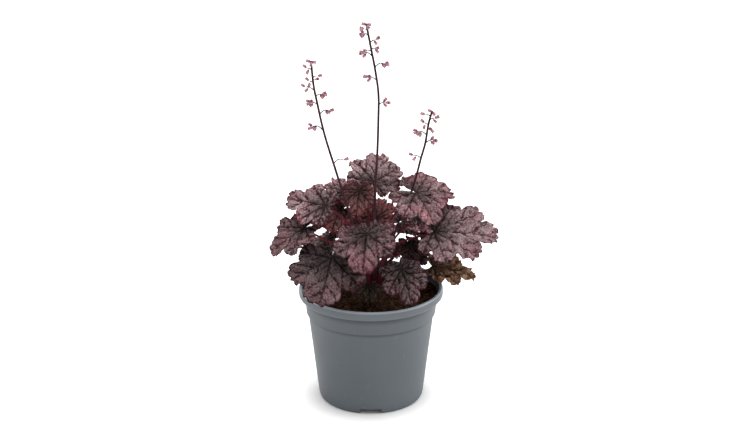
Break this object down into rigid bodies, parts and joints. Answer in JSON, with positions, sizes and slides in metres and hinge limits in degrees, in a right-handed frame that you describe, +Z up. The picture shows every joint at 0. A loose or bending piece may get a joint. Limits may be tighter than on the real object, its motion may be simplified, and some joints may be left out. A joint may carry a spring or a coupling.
{
  "type": "potted heuchera plant",
  "caption": "Heuchera (coral bells) in a round grey nursery pot: a mound of lobed, dark-veined mauve-grey leaves on long stalks under thin stems of small pink bells.",
  "frame": {"origin": "centre of the pot's underside, on the surface that the pot stands on", "axes": "+Z up, -Y the front of the plant, +X the side that the widest leaf reaches towards"},
  "size_m": [0.2163, 0.1797, 0.3726],
  "materials": {
    "pot": "matte",
    "soil": "matte",
    "crown": "matte",
    "leaf": "satin",
    "bronze_leaf": "satin",
    "flower_stem": "satin"
  },
  "bodies": {
    "root": {"pot": "pot", "soil": "soil", "crown": "crown", "leaf_01": "leaf", "leaf_02": "leaf", "leaf_03": "leaf", "leaf_04": "leaf", "leaf_05": "leaf", "leaf_06": "leaf", "leaf_07": "leaf", "leaf_08": "leaf", "leaf_09": "bronze_leaf", "leaf_10": "bronze_leaf", "leaf_11": "leaf", "leaf_12": "bronze_leaf", "leaf_13": "leaf", "leaf_14": "leaf", "leaf_15": "leaf", "leaf_16": "bronze_leaf", "leaf_17": "leaf", "leaf_18": "leaf", "leaf_19": "leaf", "leaf_20": "leaf", "leaf_21": "leaf", "leaf_22": "leaf", "leaf_23": "leaf", "leaf_24": "leaf", "leaf_25": "leaf", "leaf_26": "leaf", "flower_stem_1": "flower_stem", "flower_stem_2": "flower_stem", "flower_stem_3": "flower_stem"}
  },
  "joints": []
}
